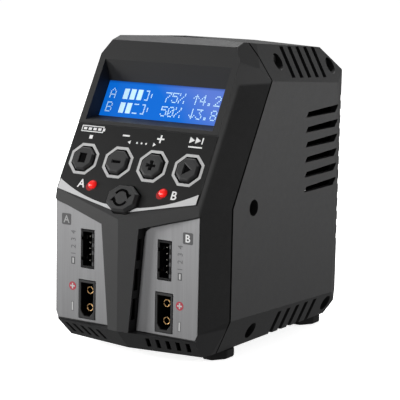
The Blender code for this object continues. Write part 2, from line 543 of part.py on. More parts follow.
def build_fan():
    """The fan frame and its rotor, which turns about an axis along Y."""
    half = 20.0
    frame = finish_mesh(box_bm((-half, FAN_Y - 5.0, FAN_Z - half), (half, FAN_Y + 4.0, FAN_Z + half)),
                        "fan_frame", BLACK)
    cut(frame, cylinder_bm((0, FAN_Y + 3.0, FAN_Z), FAN_R + 0.6, 14.6, "Y", 40), "fan_bore")
    spokes = [box_bm((-30.0, FAN_Y - 4.9, FAN_Z - 1.0), (30.0, FAN_Y - 3.6, FAN_Z + 1.0)),
              box_bm((-1.0, FAN_Y - 4.9, FAN_Z - 30.0), (1.0, FAN_Y - 3.6, FAN_Z + 30.0))]
    cut(frame, cylinder_bm((0, FAN_Y, FAN_Z), FAN_R + 0.6, 20.0, "Y", 40), "fan_through")
    for number, spoke in enumerate(spokes):
        bound = cylinder_bm((0, FAN_Y, FAN_Z), FAN_R + 1.4, 20.0, "Y", 24)
        trimmed = finish_mesh(spoke, f"spoke_{number}", None)
        cut(trimmed, bound, f"spoke_bound_{number}", "INTERSECT")
        change = frame.modifiers.new(f"spoke_{number}", "BOOLEAN")
        change.operation, change.solver, change.object = "UNION", "EXACT", trimmed
    cut(frame, cylinder_bm((0, FAN_Y - 4.25, FAN_Z), 8.0, 1.3, "Y", 24), "fan_seat", "UNION")
    rotor = finish_mesh(cylinder_bm((0, FAN_Y + 0.4, FAN_Z), 7.8, 6.6, "Y", 24), "fan_rotor", BLACK,
                        (0, FAN_Y, FAN_Z))
    blades = []
    for number in range(7):
        blade = box_bm((-0.7, -2.8, 7.0), (0.7, 3.0, FAN_R - 0.4))
        bmesh.ops.rotate(blade, verts=blade.verts, cent=(0, 0, 0), matrix=Matrix.Rotation(0.75, 3, "Z"))
        bmesh.ops.rotate(blade, verts=blade.verts, cent=(0, 0, 0),
                         matrix=Matrix.Rotation(2 * math.pi * number / 7 + 0.2, 3, "Y"))
        bmesh.ops.translate(blade, verts=blade.verts, vec=(0, FAN_Y + 0.4, FAN_Z))
        blades.append(blade)
    cutter = cut(rotor, join_bm(blades), "blades", "UNION")
    return cutter


def build_inlet():
    """The two-pin mains inlet in the rear panel."""
    body = finish_mesh(box_bm((INLET_X - 9.3, 43.0, INLET_Z - 5.7), (INLET_X + 9.3, BACK_Y - 0.2, INLET_Z + 5.7)),
                       "ac_inlet", BLACK)
    lobes = [cylinder_bm((INLET_X + s * 4.3, 55.0, INLET_Z), 4.2, 16.0, "Y", 20) for s in (-1, 1)]
    for number, lobe in enumerate(lobes):
        cut(body, lobe, f"inlet_lobe_{number}")
    cut(body, box_bm((INLET_X - 4.0, 47.0, INLET_Z - 3.1), (INLET_X + 4.0, 70.0, INLET_Z + 3.1)), "inlet_bridge")
    for side, tag in ((-1, "left"), (1, "right")):
        x = INLET_X + side * 4.3
        cut(body, cylinder_bm((x, 45.0, INLET_Z), 1.35, 10.0, "Y", 16), f"inlet_pin_hole_{tag}")
        finish_mesh(cylinder_bm((x, 48.5, INLET_Z), 1.15, 15.0, "Y", 16), f"inlet_pin_{tag}", STEEL)


def build_fasteners():
    """Five case screws across the clamshell and four feet."""
    for number, (y, z) in enumerate(SCREWS, 1):
        screw = finish_mesh(cylinder_bm((10.8, y, z), 1.35, 41.0, "X", 12), f"case_screw_{number}", STEEL)
        cut(screw, cylinder_bm((32.0, y, z), 2.7, 2.2, "X", 16), f"screw_head_{number}", "UNION")
        cut(screw, box_bm((32.2, y - 0.35, z - 1.6), (34.0, y + 0.35, z + 1.6)), f"drive_v_{number}")
        cut(screw, box_bm((32.2, y - 1.6, z - 0.35), (34.0, y + 1.6, z + 0.35)), f"drive_h_{number}")
    for (x, y), tag in zip(FEET, ("front_left", "front_right", "rear_left", "rear_right")):
        rings = [[(x + u * w, y + v * d, z) for u, v in octagon(1.0, 0.75)]
                 for z, w, d in ((0.0, 5.6, 8.2), (0.8, 6.1, 8.7), (3.7, 6.1, 8.7))]
        finish_mesh(loft_bm(rings), f"foot_{tag}", RUBBER)


build_case()
build_label()
build_display()
build_buttons()
build_control_board()
for channel_side, channel_tag in ((-1, "a"), (1, "b")):
    build_channel(channel_side, channel_tag)
build_electronics()
build_fan()
build_inlet()
build_fasteners()
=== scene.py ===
"""Looks of the two-channel balance battery charger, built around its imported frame: metres, +Z up, front -Y."""
from __future__ import annotations

import json
import logging
import math
from dataclasses import dataclass, field
from enum import Enum
from typing import Iterable, Protocol, Sequence

import bmesh
import bpy
from mathutils import Matrix, Vector

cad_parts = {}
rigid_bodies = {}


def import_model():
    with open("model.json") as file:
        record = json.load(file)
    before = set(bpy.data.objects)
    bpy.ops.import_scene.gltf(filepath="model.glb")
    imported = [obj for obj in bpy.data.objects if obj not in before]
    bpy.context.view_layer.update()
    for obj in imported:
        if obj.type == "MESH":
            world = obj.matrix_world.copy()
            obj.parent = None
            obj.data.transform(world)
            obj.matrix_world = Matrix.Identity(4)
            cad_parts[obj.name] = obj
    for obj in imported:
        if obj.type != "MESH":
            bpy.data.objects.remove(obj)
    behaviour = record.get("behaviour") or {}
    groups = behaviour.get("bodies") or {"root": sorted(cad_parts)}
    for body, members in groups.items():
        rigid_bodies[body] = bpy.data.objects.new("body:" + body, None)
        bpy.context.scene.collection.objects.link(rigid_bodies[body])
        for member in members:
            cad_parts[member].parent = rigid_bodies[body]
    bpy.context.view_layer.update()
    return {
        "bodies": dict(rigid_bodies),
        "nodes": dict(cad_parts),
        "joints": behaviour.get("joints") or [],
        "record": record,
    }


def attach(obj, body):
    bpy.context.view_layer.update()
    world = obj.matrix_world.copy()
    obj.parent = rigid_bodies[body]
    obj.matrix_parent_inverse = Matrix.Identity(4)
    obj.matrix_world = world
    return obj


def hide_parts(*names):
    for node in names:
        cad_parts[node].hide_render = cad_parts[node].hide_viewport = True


MM = 0.001
LOG = logging.getLogger("charger")
HOUSING = "housing"


class Side(Enum):
    """The two channels, by the sign of their place along X."""

    A = -1
    B = 1


# ---- shader maths
class Field:
    """One socket of a shader graph, with arithmetic that adds Math nodes."""

    def __init__(self, graph: "Graph", socket: bpy.types.NodeSocket) -> None:
        """Wrap an output socket of a graph."""
        self.graph = graph
        self.socket = socket

    def _math(self, operation: str, *values: "Field | float") -> "Field":
        """Add one Math node with these inputs, in order."""
        return self.graph.node("ShaderNodeMath", {"operation": operation}, dict(enumerate(values)))

    def __add__(self, other: "Field | float") -> "Field":
        """Sum."""
        return self._math("ADD", self, other)

    __radd__ = __add__

    def __sub__(self, other: "Field | float") -> "Field":
        """Difference."""
        return self._math("SUBTRACT", self, other)

    def __rsub__(self, other: "Field | float") -> "Field":
        """Reflected difference."""
        return self._math("SUBTRACT", other, self)

    def __mul__(self, other: "Field | float") -> "Field":
        """Product."""
        return self._math("MULTIPLY", self, other)

    __rmul__ = __mul__

    def __truediv__(self, other: "Field | float") -> "Field":
        """Quotient."""
        return self._math("DIVIDE", self, other)

    def __rtruediv__(self, other: "Field | float") -> "Field":
        """Reflected quotient."""
        return self._math("DIVIDE", other, self)

    def __abs__(self) -> "Field":
        """Distance from nought."""
        return self._math("ABSOLUTE", self)

    def at_least(self, other: "Field | float") -> "Field":
        """The larger of two values."""
        return self._math("MAXIMUM", self, other)

    def at_most(self, other: "Field | float") -> "Field":
        """The smaller of two values."""
        return self._math("MINIMUM", self, other)

    def clamp(self) -> "Field":
        """The value held between 0 and 1."""
        return self.graph.node("ShaderNodeClamp", {}, {0: self, 1: 0.0, 2: 1.0})


Value = Field | float | Sequence[float]


class Graph:
    """The node graph of one material."""

    def __init__(self, name: str) -> None:
        """Start a material with an empty graph.

        Args:
            name: The material's name.
        """
        self.material = bpy.data.materials.new(name)
        self.material.use_nodes = True
        self.tree = self.material.node_tree
        self.tree.nodes.clear()

    def node(self, kind: str, settings: dict[str, object] | None = None,
             inputs: dict[int | str, Value] | None = None, output: int | str = 0) -> Field:
        """Add a node, set it up and link it.

        Args:
            kind: The node's type.
            settings: Properties to set first; "stops" fills a colour ramp.
            inputs: Values or fields by socket index or name.
            output: The output socket to return.

        Returns:
            The chosen output as a field.
        """
        made = self.tree.nodes.new(kind)
        for key, value in (settings or {}).items():
            if key == "stops":
                ramp = made.color_ramp
                while len(ramp.elements) < len(value):
                    ramp.elements.new(0.5)
                for element, (place, colour) in zip(ramp.elements, value):
                    element.position = place
                    element.color = (*colour, 1.0)
            else:
                setattr(made, key, value)
        for key, value in (inputs or {}).items():
            socket = made.inputs[key]
            if isinstance(value, Field):
                self.tree.links.new(value.socket, socket)
            elif socket.type == "RGBA" and not isinstance(value, (int, float)) and len(value) == 3:
                socket.default_value = (*value, 1.0)
            else:
                socket.default_value = value
        return Field(self, made.outputs[output])

    def place(self) -> Field:
        """Object coordinates in metres."""
        return self.node("ShaderNodeTexCoord", {}, {}, "Object")

    def mapped(self, scale: Sequence[float]) -> Field:
        """Object coordinates stretched by a scale on each axis."""
        return self.node("ShaderNodeMapping", {}, {"Vector": self.place(), "Scale": tuple(scale)})

    def axis(self, index: int) -> Field:
        """One Object coordinate, in metres."""
        return self.node("ShaderNodeSeparateXYZ", {}, {0: self.place()}, index)

    def noise(self, scale: Sequence[float], detail: float = 3.0, roughness: float = 0.5) -> Field:
        """Noise from 0 to 1, its scale in cells per metre along each axis."""
        return self.node("ShaderNodeTexNoise", {}, {"Vector": self.mapped(scale), "Scale": 1.0,
                                                    "Detail": detail, "Roughness": roughness})

    def ramp(self, value: Field, stops: Sequence[tuple[float, tuple[float, float, float]]]) -> Field:
        """Colours read along a value."""
        return self.node("ShaderNodeValToRGB", {"stops": stops}, {0: value})

    def mix(self, factor: Value, first: Value, second: Value) -> Field:
        """Blend two colours."""
        return self.node("ShaderNodeMix", {"data_type": "RGBA"}, {0: factor, 6: first, 7: second}, 2)

    def bump(self, height: Field, strength: float, distance: float) -> Field:
        """A normal bent by a height field, whose 1 stands for the distance in metres."""
        return self.node("ShaderNodeBump", {}, {"Strength": strength, "Distance": distance, "Height": height})

    def surface(self, **inputs: Value) -> bpy.types.Material:
        """Close the graph with a Principled surface.

        Args:
            **inputs: Socket values by name, with _ for a space.

        Returns:
            The finished material.
        """
        named = {key.replace("_", " "): value for key, value in inputs.items()}
        shader = self.node("ShaderNodeBsdfPrincipled", {}, named)
        end = self.tree.nodes.new("ShaderNodeOutputMaterial")
        self.tree.links.new(shader.socket, end.inputs["Surface"])
        return self.material


# ---- finishes
Colour = tuple[float, float, float]
BLACK = (0.0, 0.0, 0.0)


class Finish(Protocol):
    """What every finish offers."""

    @property
    def name(self) -> str:
        """The material's name."""

    def build(self) -> bpy.types.Material:
        """Make the material."""


def toned(colour: Colour, factor: float) -> Colour:
    """A colour made darker or lighter."""
    return tuple(min(1.0, channel * factor) for channel in colour)


@dataclass(frozen=True)
class Moulding:
    """Spark-textured moulded plastic."""

    name: str
    colour: Colour
    roughness: float = 0.55
    grain: float = 0.00004
    pitch: float = 2600.0
    gloss: float = 0.25

    def shade(self, graph: Graph) -> Field | float:
        """How much of the colour is lost where: nowhere, on plain plastic."""
        return 0.0

    def build(self) -> bpy.types.Material:
        """Make the material.

        Returns:
            The material.
        """
        graph = Graph(self.name)
        grain = graph.noise((self.pitch,) * 3, 2.0, 0.6)
        cloud = graph.noise((55.0, 55.0, 38.0), 3.0)
        dust = graph.noise((420.0,) * 3, 4.0, 0.65)
        # loss takes colour away: painted shade in the shell joint, and the front shell's darker flanks.
        loss = self.shade(graph)
        tint = (cloud - 0.5) * 0.22 + (grain - 0.5) * 0.30 + (dust - 0.5) * 0.10 + 0.5
        base = graph.mix(tint.clamp(), toned(self.colour, 0.72), toned(self.colour, 1.30))
        return graph.surface(
            Base_Color=graph.mix(loss, base, BLACK),
            Roughness=((grain - 0.5) * 0.22 + (dust - 0.5) * 0.14 + loss * 0.5 + self.roughness).clamp(),
            Specular_IOR_Level=self.gloss,
            Normal=graph.bump(grain * 0.7 + dust * 0.3, 0.55, self.grain))


@dataclass(frozen=True)
class ShellMoulding(Moulding):
    """Case plastic with painted shade that darkens it in the joint between the shells."""

    joint_y: float = -0.0374
    bend_z: float = 0.0635
    lean: float = 0.58
    crest_y: float = 0.02344
    crest_lean: float = 0.287
    inset: float = 0.00032
    half_width: float = 0.00040
    blur: float = 0.00012

    def shade(self, graph: Graph) -> Field | float:
        """Painted shade: full loss of colour within the joint.

        Args:
            graph: The material's graph.

        Returns:
            The loss, from 0 to 1.
        """
        height = graph.axis(2)
        rising = (height - self.bend_z).at_least(0.0) * self.lean + self.joint_y
        joint = rising.at_most(self.crest_y - height * self.crest_lean)
        off = abs(graph.axis(1) - joint + self.inset)
        return 1.0 - ((off - self.half_width) / self.blur).clamp()


@dataclass(frozen=True)
class FlankedMoulding(ShellMoulding):
    """Front shell plastic, whose two flanks are darker and rougher than the rest."""

    flank: float = 0.0346
    foot: float = 0.0145
    crown: float = 0.1120
    depth: float = 0.5
    fade_across: float = 0.0005
    fade_up: float = 0.0010

    def shade(self, graph: Graph) -> Field | float:
        """The painted shade in the joint, and how much of the colour the flanks lose.

        Args:
            graph: The material's graph.

        Returns:
            The loss, from 0 to 1.
        """
        across = ((abs(graph.axis(0)) - self.flank) / self.fade_across).clamp()
        above = ((graph.axis(2) - self.foot) / self.fade_up).clamp()
        below = ((self.crown - graph.axis(2)) / self.fade_up).clamp()
        return super().shade(graph).at_least(across * above * below * self.depth)


@dataclass(frozen=True)
class LabelFilm:
    """Matt black printed film with a fine orange-peel surface."""

    name: str = "label_film_black"
    colour: Colour = (0.0072, 0.0072, 0.0074)

    def build(self) -> bpy.types.Material:
        """Make the material.

        Returns:
            The material.
        """
        graph = Graph(self.name)
        peel = graph.noise((1500.0,) * 3, 3.0, 0.5)
        haze = graph.noise((90.0,) * 3, 3.0)
        cover = ((haze - 0.5) * 0.5 + 0.5).clamp()
        base = graph.mix(cover, toned(self.colour, 0.75), toned(self.colour, 1.35))
        return graph.surface(Base_Color=base, Roughness=((peel - 0.5) * 0.2 + 0.46).clamp(),
                             Specular_IOR_Level=0.22, Normal=graph.bump(peel, 0.3, 0.00002))


@dataclass(frozen=True)
class InkOrGlow:
    """Screen-printed ink, slightly uneven in cover; given a strength it glows, for the display's lit dots and
    for painted lamp light.
    """

    name: str
    colour: Colour
    strength: float = 0.0

    def build(self) -> bpy.types.Material:
        """Make the material.

        Returns:
            The material.
        """
        graph = Graph(self.name)
        cover = graph.noise((2100.0,) * 3, 3.0, 0.6)
        wear = graph.noise((260.0,) * 3, 3.0, 0.6)
        shade = ((cover - 0.5) * 0.5 + (wear - 0.5) * 0.5 + 0.5).clamp()
        base = graph.mix(shade, toned(self.colour, 0.88), toned(self.colour, 1.06))
        return graph.surface(Base_Color=base, Roughness=((cover - 0.5) * 0.2 + 0.5).clamp(),
                             Specular_IOR_Level=0.35, Normal=graph.bump(cover, 0.25, 0.00001),
                             Emission_Color=base, Emission_Strength=self.strength)


@dataclass(frozen=True)
class BrushedSheet:
    """Vertically brushed grey sheet metal, with painted shade that darkens it towards the bottom."""

    name: str = "brushed_channel_sheet"
    colour: Colour = (0.215, 0.215, 0.22)
    top: float = 0.058
    bottom: float = 0.012

    def build(self) -> bpy.types.Material:
        """Make the material.

        Returns:
            The material.
        """
        graph = Graph(self.name)
        streak = graph.noise((2300.0, 2300.0, 26.0), 4.0, 0.62)
        broad = graph.noise((430.0, 430.0, 9.0), 3.0, 0.5)
        # Painted shade: darker towards the bottom, lighter towards the top.
        height = ((graph.axis(2) - self.bottom) / (self.top - self.bottom)).clamp()
        tone = (height * 0.34 + (streak - 0.5) * 0.62 + (broad - 0.5) * 0.5 + 0.38).clamp()
        base = graph.mix(tone, toned(self.colour, 0.62), toned(self.colour, 1.18))
        return graph.surface(Base_Color=base, Metallic=0.35, Roughness=((streak - 0.5) * 0.35 + 0.46).clamp(),
                             Normal=graph.bump(streak, 0.35, 0.00003))


@dataclass(frozen=True)
class Plating:
    """Plated metal with fine drawing marks."""

    name: str
    colour: Colour
    roughness: float = 0.28

    def shade(self, graph: Graph) -> Field | float:
        """How much of the colour is lost where: nowhere, on open plating."""
        return 0.0

    def build(self) -> bpy.types.Material:
        """Make the material.

        Returns:
            The material.
        """
        graph = Graph(self.name)
        marks = graph.noise((1800.0, 300.0, 1800.0), 3.0, 0.6)
        stain = graph.noise((300.0,) * 3, 2.0)
        base = graph.mix(((stain - 0.5) * 0.8 + 0.5).clamp(), toned(self.colour, 0.78), self.colour)
        base = graph.mix(self.shade(graph), base, toned(self.colour, 0.06))
        return graph.surface(Base_Color=base, Metallic=1.0,
                             Roughness=((marks - 0.5) * 0.25 + self.roughness).clamp(),
                             Normal=graph.bump(marks, 0.25, 0.00002))


@dataclass(frozen=True)
class ContactPlating(Plating):
    """Gold plating that falls into shadow inside the socket."""

    rim_y: float = -0.0513

    def shade(self, graph: Graph) -> Field | float:
        """Loss of colour behind the rim."""
        return 1.0 - ((self.rim_y - graph.axis(1)) / 0.0004).clamp()


@dataclass(frozen=True)
class Backlight:
    """The display's blue backlight seen through its cell."""

    name: str = "display_backlight"
    deep: Colour = (0.003, 0.145, 0.66)
    pale: Colour = (0.105, 0.20, 0.66)
    rim: Colour = (0.001, 0.012, 0.10)
    half_width: float = 0.030
    foot_z: float = 0.0935
    height: float = 0.016

    def build(self) -> bpy.types.Material:
        """Make the material.

        Returns:
            The material.
        """
        graph = Graph(self.name)
        across = (graph.axis(0) / self.half_width * 0.5 + 0.5).clamp()
        glow = graph.noise((45.0, 45.0, 60.0), 2.0)
        height = ((graph.axis(2) - self.foot_z) / self.height).clamp()
        sweep = ((across - 0.52) * 2.6 + (height - 0.5) * 0.9 + (glow - 0.5) * 0.3).clamp()
        cell = graph.noise((1700.0,) * 3, 1.0)
        base = graph.mix(sweep, self.deep, self.pale)
        edge = (1.0 - abs(height - 0.5) * 2.0) * 5.0
        lit = graph.mix((edge.clamp() * 0.75 + 0.25 + (cell - 0.5) * 0.08).clamp(), self.rim, base)
        return graph.surface(Base_Color=graph.mix(0.85, lit, BLACK), Roughness=0.16, Emission_Color=lit,
                             Emission_Strength=0.92, Specular_IOR_Level=0.3,
                             Normal=graph.bump(cell, 0.05, 0.00001))


@dataclass(frozen=True)
class LampResin:
    """Glowing red lamp resin, brightest at its crown."""

    name: str = "lamp_resin_red"
    crown_y: float = -0.0548

    def build(self) -> bpy.types.Material:
        """Make the material.

        Returns:
            The material.
        """
        graph = Graph(self.name)
        swirl = graph.noise((600.0,) * 3, 2.0)
        near = ((self.crown_y + 0.0026 - graph.axis(1)) / 0.0030 + (swirl - 0.5) * 0.2).clamp()
        lit = graph.mix(near, (0.30, 0.0, 0.0), (1.0, 0.022, 0.018))
        return graph.surface(Base_Color=graph.mix(0.5, lit, (0.5, 0.0, 0.0)), Roughness=0.3,
                             Emission_Color=lit, Emission_Strength=0.75, Coat_Weight=0.15, Coat_Roughness=0.2)


@dataclass(frozen=True)
class Board:
    """Solder-masked circuit board."""

    name: str = "solder_mask_green"

    def build(self) -> bpy.types.Material:
        """Make the material.

        Returns:
            The material.
        """
        graph = Graph(self.name)
        traces = graph.node("ShaderNodeTexVoronoi", {"feature": "DISTANCE_TO_EDGE"},
                            {"Vector": graph.mapped((330.0,) * 3), "Scale": 1.0})
        weave = graph.noise((1400.0,) * 3, 2.0)
        greens = [(0.0, (0.05, 0.26, 0.10)), (0.25, (0.018, 0.12, 0.045)), (1.0, (0.022, 0.14, 0.05))]
        base = graph.ramp((traces * 3.0 + (weave - 0.5) * 0.2).clamp(), greens)
        return graph.surface(Base_Color=base, Roughness=((weave - 0.5) * 0.2 + 0.4).clamp(),
                             Normal=graph.bump(traces, 0.3, 0.00003))


@dataclass(frozen=True)
class Winding:
    """Yellow tape over a wound core."""

    name: str = "winding_tape"

    def build(self) -> bpy.types.Material:
        """Make the material.

        Returns:
            The material.
        """
        graph = Graph(self.name)
        bands = graph.node("ShaderNodeTexWave", {"bands_direction": "Z"},
                           {"Vector": graph.mapped((1.0, 1.0, 1.0)), "Scale": 160.0, "Distortion": 1.5})
        stain = graph.noise((300.0,) * 3, 3.0)
        base = graph.mix((bands * 0.5 + stain * 0.5).clamp(), (0.42, 0.26, 0.05), (0.70, 0.50, 0.14))
        return graph.surface(Base_Color=base, Roughness=(stain * 0.3 + 0.3).clamp(),
                             Normal=graph.bump(bands, 0.4, 0.0001))


@dataclass(frozen=True)
class StudioFloor:
    """Pale, faintly mottled studio floor."""

    name: str = "studio_floor"

    def build(self) -> bpy.types.Material:
        """Make the material.

        Returns:
            The material.
        """
        graph = Graph(self.name)
        mottle = graph.noise((9.0,) * 3, 3.0)
        base = graph.mix(mottle, (0.93, 0.93, 0.93), (0.96, 0.96, 0.96))
        return graph.surface(Base_Color=base, Roughness=(mottle * 0.1 + 0.75).clamp(), Specular_IOR_Level=0.1,
                             Emission_Color=base, Emission_Strength=0.85)


@dataclass
class Finishes:
    """Every material of the charger, made once."""

    made: dict[str, bpy.types.Material] = field(default_factory=dict)

    def get(self, finish: Finish) -> bpy.types.Material:
        """Build a finish's material at first use.

        Args:
            finish: The finish.

        Returns:
            Its material.
        """
        if finish.name not in self.made:
            self.made[finish.name] = finish.build()
        return self.made[finish.name]


CASE = FlankedMoulding("case_charcoal", (0.021, 0.021, 0.0215))
SHELL_BACK = ShellMoulding("shell_charcoal", (0.024, 0.024, 0.0245))
KEYCAP = Moulding("keycap_grey", (0.028, 0.028, 0.0285), 0.5, 0.00002, 3000.0)
ENGRAVED = Moulding("engraved_black", (0.0020, 0.0020, 0.0021), 0.8, 0.00001, gloss=0.03)
# Painted shade: the black of the liners in the key wells.
WELL_SHADE = Moulding("well_black", (0.0016, 0.0016, 0.0016), 0.8, 0.00001, gloss=0.03)
SCREW = Moulding("screw_black", (0.012, 0.012, 0.012), 0.4)
WINDOW = Moulding("window_grey", (0.055, 0.055, 0.057))
SOCKET = Moulding("socket_black", (0.005, 0.005, 0.0052), 0.5, 0.00001, gloss=0.15)
SHROUD = Moulding("socket_shroud_grey", (0.020, 0.020, 0.0205), 0.5, 0.00001)
LOUVRE = Moulding("louvre_black", (0.014, 0.014, 0.0145), 0.6)
RUBBER = Moulding("foot_rubber", (0.006, 0.006, 0.006), 0.85, 0.00005, 1500.0)
SLEEVE = Moulding("capacitor_sleeve", (0.012, 0.012, 0.016), 0.3, 0.00001)
# Painted shade: the black of pieces that stand in for shadow in slots, behind vents and in a joint.
PAINTED_SHADOW = Moulding("shadow_black", (0.0016, 0.0016, 0.0016), 0.9, 0.00001, gloss=0.05)
FILM = LabelFilm()
WHITE = InkOrGlow("print_white", (0.44, 0.44, 0.44))
SILVER_PRINT = InkOrGlow("print_silver", (0.29, 0.29, 0.29))
# Painted light: the lamps' red light on the face and on the walls of their wells.
LAMP_GLOW = InkOrGlow("lamp_glow_red", (0.20, 0.0, 0.0), 0.35)
LAMP_WALL_LIGHT = InkOrGlow("lamp_well_red", (0.35, 0.004, 0.004), 0.25)
TRIM = InkOrGlow("trim_silver_white", (0.50, 0.50, 0.505))
LETTER = InkOrGlow("letter_white", (0.72, 0.72, 0.72))
GREY_PRINT = InkOrGlow("print_grey", (0.070, 0.070, 0.072))
FAINT_PRINT = InkOrGlow("print_faint", (0.090, 0.090, 0.092))
RED_PRINT = InkOrGlow("print_red", (0.36, 0.030, 0.050))
SHEET = BrushedSheet()
GOLD = ContactPlating("contact_gold", (0.80, 0.50, 0.22), 0.34)
STEEL = Plating("plated_steel", (0.34, 0.34, 0.35), 0.35)
PIN_METAL = Plating("pin_tin", (0.42, 0.40, 0.36), 0.4)
ALLOY = Plating("heat_sink_alloy", (0.55, 0.55, 0.56), 0.42)
GLASS = Backlight()
GLYPH = InkOrGlow("glyph_light", (0.33, 0.49, 0.60), 1.0)
LAMP = LampResin()
BOARD = Board()
WINDING = Winding()


# ---- shapes
FACE_TILT = math.radians(29.5)
FACE_OUT = Vector((0.0, -math.cos(FACE_TILT), math.sin(FACE_TILT)))
FACE_UP = Vector((0.0, math.sin(FACE_TILT), math.cos(FACE_TILT)))
FACE_D = 80.8  # millimetres from the origin to the face, along its normal
Outline = Sequence[tuple[float, float]]


def on_face(x: float, z: float, depth: float = 0.0) -> Vector:
    """A point this deep behind the slanted face, in millimetres."""
    return Vector((x, (FACE_D - FACE_OUT.z * z) / FACE_OUT.y, z)) - FACE_OUT * depth


def face_frame(x: float, z: float, depth: float = 0.0) -> Matrix:
    """A frame on the slanted face: first axis across, second up the slope, third outwards."""
    axes = Matrix((Vector((1, 0, 0)), FACE_UP, FACE_OUT)).transposed()
    return Matrix.Translation(on_face(x, z, depth)) @ axes.to_4x4()


def front_frame(x: float, y: float, z: float) -> Matrix:
    """A frame on an upright front surface: first axis across, second up, third outwards."""
    return Matrix(((1, 0, 0, x), (0, 0, -1, y), (0, 1, 0, z), (0, 0, 0, 1)))


def octagon(radius: float) -> Outline:
    """Corners of an octagon.

    Args:
        radius: Distance of its flats from the centre.

    Returns:
        The corners, anticlockwise.
    """
    corner = radius * math.tan(math.pi / 8)
    return [(corner, -radius), (radius, -corner), (radius, corner), (corner, radius),
            (-corner, radius), (-radius, corner), (-radius, -corner), (-corner, -radius)]


def rectangle(half_u: float, half_v: float, u: float = 0.0, v: float = 0.0) -> Outline:
    """Corners of a rectangle about a centre."""
    return [(u - half_u, v - half_v), (u + half_u, v - half_v),
            (u + half_u, v + half_v), (u - half_u, v + half_v)]


def cross(reach_u: float, reach_v: float, half: float) -> Outline:
    """Corners of an upright cross whose arms are twice the half wide."""
    right = [(half, -reach_v), (half, -half), (reach_u, -half), (reach_u, half), (half, half), (half, reach_v)]
    return right + [(-u, -v) for u, v in right]


def turned(outline: Outline, angle: float) -> Outline:
    """An outline turned about its frame's origin."""
    turn = Matrix.Rotation(angle, 2)
    return [tuple(turn @ Vector(corner)) for corner in outline]


class Piece:
    """A new solid under construction, in millimetres."""

    def __init__(self) -> None:
        """Start with an empty mesh."""
        self.mesh = bmesh.new()

    def slab(self, outline: Outline, frame: Matrix, thickness: float) -> "Piece":
        """Raise an outline, given on a frame's first two axes, along its third."""
        face = self.mesh.faces.new([self.mesh.verts.new(frame @ Vector((u, v, 0.0))) for u, v in outline])
        return self._raise([face], frame, thickness)

    def band(self, outer: Outline, inner: Outline, frame: Matrix, thickness: float) -> "Piece":
        """Raise the band between two matching outlines.

        Args:
            outer: The outer ring of corners.
            inner: The inner ring, of equal count.
            frame: Where the band's back lies.
            thickness: Height along the frame's third axis.

        Returns:
            This piece.
        """
        edges = []
        for ring in (outer, inner):
            verts = [self.mesh.verts.new(frame @ Vector((u, v, 0.0))) for u, v in ring]
            edges += [self.mesh.edges.new((a, b)) for a, b in zip(verts, verts[1:] + verts[:1])]
        return self._raise(bmesh.ops.bridge_loops(self.mesh, edges=edges)["faces"], frame, thickness)

    def disc(self, radius: float, frame: Matrix, thickness: float, sides: int = 28) -> "Piece":
        """Raise a round plate."""
        made = bmesh.ops.create_circle(self.mesh, cap_ends=True, segments=sides, radius=radius, matrix=frame)
        return self._raise(made["verts"][0].link_faces, frame, thickness)

    def tube(self, outer: float, inner: float, frame: Matrix, length: float, sides: int = 24) -> "Piece":
        """Raise a round band.

        Args:
            outer: Outer radius.
            inner: Inner radius.
            frame: Where the band's back lies.
            length: Height along the frame's third axis.
            sides: Number of flats.

        Returns:
            This piece.
        """
        verts = [vert for radius in (outer, inner) for vert in bmesh.ops.create_circle(
            self.mesh, segments=sides, radius=radius, matrix=frame)["verts"]]
        edges = list(dict.fromkeys(edge for vert in verts for edge in vert.link_edges))
        return self._raise(bmesh.ops.bridge_loops(self.mesh, edges=edges)["faces"], frame, length)

    def block(self, low: Sequence[float], high: Sequence[float]) -> "Piece":
        """Add a box.

        Args:
            low: Its lowest corner.
            high: Its highest corner.

        Returns:
            This piece.
        """
        made = bmesh.ops.create_cube(self.mesh, size=1.0)["verts"]
        bmesh.ops.scale(self.mesh, verts=made, vec=Vector(high) - Vector(low))
        bmesh.ops.translate(self.mesh, verts=made, vec=(Vector(high) + Vector(low)) / 2)
        return self

    def _raise(self, faces: Iterable[bmesh.types.BMFace], frame: Matrix, thickness: float) -> "Piece":
        """Extrude faces along a frame's third axis.

        Args:
            faces: The faces, which stay as the back.
            frame: The frame.
            thickness: How far.

        Returns:
            This piece.
        """
        made = bmesh.ops.extrude_face_region(self.mesh, geom=list(faces), use_keep_orig=True)["geom"]
        verts = [item for item in made if isinstance(item, bmesh.types.BMVert)]
        bmesh.ops.translate(self.mesh, verts=verts, vec=frame.to_3x3() @ Vector((0, 0, thickness)))
        return self

    def finish(self, name: str, body: str, material: bpy.types.Material) -> bpy.types.Object:
        """Close the piece and let it ride on a body.

        Args:
            name: The piece's name.
            body: The body that carries it.
            material: Its material.

        Returns:
            The object.
        """
        bmesh.ops.remove_doubles(self.mesh, verts=self.mesh.verts, dist=0.0004)
        bmesh.ops.recalc_face_normals(self.mesh, faces=self.mesh.faces)
        bmesh.ops.scale(self.mesh, verts=self.mesh.verts, vec=(MM, MM, MM))
        data = bpy.data.meshes.new(name)
        self.mesh.to_mesh(data)
        self.mesh.free()
        return settle(data, name, body, material)


def settle(data: bpy.types.Mesh, name: str, body: str, material: bpy.types.Material) -> bpy.types.Object:
    """Put a finished mesh in the scene and on its body.

    Args:
        data: The mesh, in metres, in place.
        name: The piece's name.
        body: The body that carries it.
        material: Its material.

    Returns:
        The object.
    """
    data.materials.clear()
    data.materials.append(material)
    for polygon in data.polygons:
        polygon.use_smooth = False
        polygon.material_index = 0
    made = bpy.data.objects.new(name, data)
    bpy.context.scene.collection.objects.link(made)
    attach(made, body)
    LOG.info("%s: %d faces on %s", name, len(data.polygons), body)
    return made


